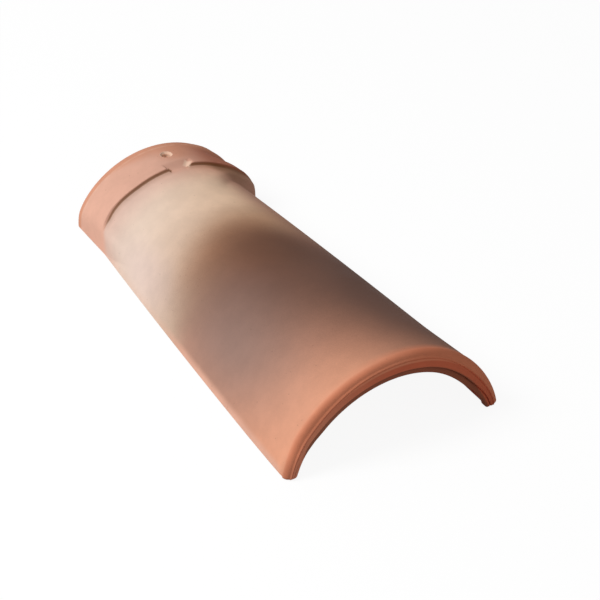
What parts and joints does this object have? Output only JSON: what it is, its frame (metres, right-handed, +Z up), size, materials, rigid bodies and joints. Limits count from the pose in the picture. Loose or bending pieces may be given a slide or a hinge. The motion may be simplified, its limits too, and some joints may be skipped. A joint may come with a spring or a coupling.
{
  "type": "hip tile",
  "caption": "Tapered half-round hip tile in fired clay, with a raised notched collar and a nail hole at the narrow head and a plain lipped tail that covers the next tile.",
  "frame": {"origin": "on the bed plane, at the middle of the box around the tile", "axes": "+Y from the wide tail to the collared head, +X across the tile, +Z up from the bed to the crown"},
  "size_m": [0.2, 0.4, 0.079],
  "materials": {
    "clay": "matt fired clay with a sprayed cream and brown engobe"
  },
  "bodies": {
    "root": {"hip_tile": "clay"}
  },
  "joints": []
}
